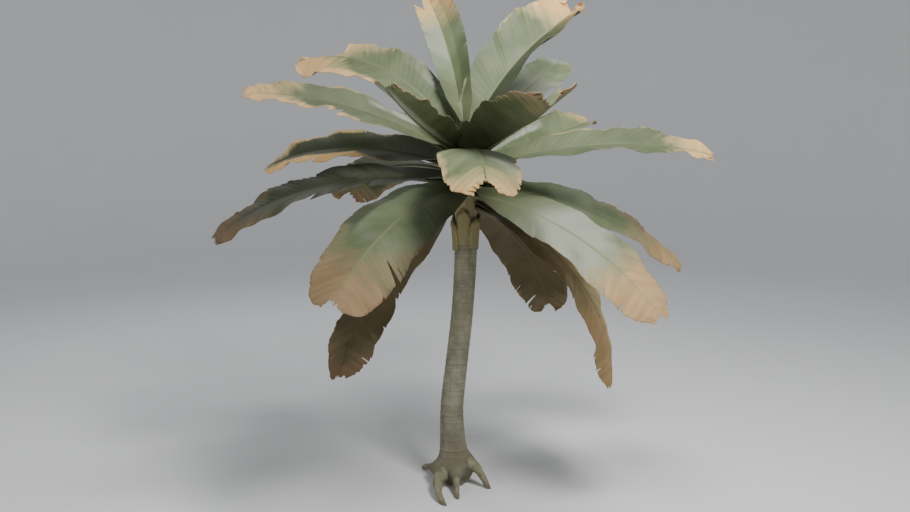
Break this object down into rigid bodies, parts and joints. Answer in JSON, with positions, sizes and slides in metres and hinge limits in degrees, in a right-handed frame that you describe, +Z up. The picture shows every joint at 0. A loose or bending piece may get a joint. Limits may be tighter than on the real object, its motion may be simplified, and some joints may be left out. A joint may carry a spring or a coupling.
{
  "type": "broad-leaved palm tree",
  "caption": "Slender ringed trunk on short prop roots, with old leaf bases under an open crown of broad undivided fronds, rooted in level ground.",
  "frame": {"origin": "middle of the flat cut under the trunk, on level ground", "axes": "+Z up along the trunk, the whole tree above the ground plane"},
  "size_m": [3.7422, 3.3758, 3.8751],
  "materials": {
    "bark": "grey-green ringed bark",
    "root_bark": "rough grey-brown root",
    "old_leaf_base": "dry brown fibre",
    "green_blade": "satin grey-green leaf",
    "dry_blade": "dry brown leaf"
  },
  "bodies": {
    "root": {"trunk": "bark", "root_front_left": "root_bark", "root_front": "root_bark", "root_right": "root_bark", "root_back_right": "root_bark", "root_back": "root_bark", "root_left": "root_bark", "leaf_base_1": "old_leaf_base", "leaf_base_2": "old_leaf_base", "leaf_base_3": "old_leaf_base", "leaf_base_4": "old_leaf_base", "leaf_base_5": "old_leaf_base", "leaf_base_6": "old_leaf_base", "frond_young_1": "green_blade", "frond_young_2": "green_blade", "frond_young_3": "green_blade", "frond_young_4": "green_blade", "frond_middle_1": "green_blade", "frond_middle_2": "green_blade", "frond_middle_3": "green_blade", "frond_middle_4": "green_blade", "frond_middle_5": "green_blade", "frond_middle_6": "green_blade", "frond_middle_7": "green_blade", "frond_lower_1": "green_blade", "frond_lower_2": "green_blade", "frond_lower_3": "green_blade", "frond_lower_4": "green_blade", "frond_lower_5": "green_blade", "frond_lower_6": "green_blade", "frond_hanging_1": "dry_blade", "frond_hanging_2": "dry_blade", "frond_hanging_3": "dry_blade"}
  },
  "joints": []
}
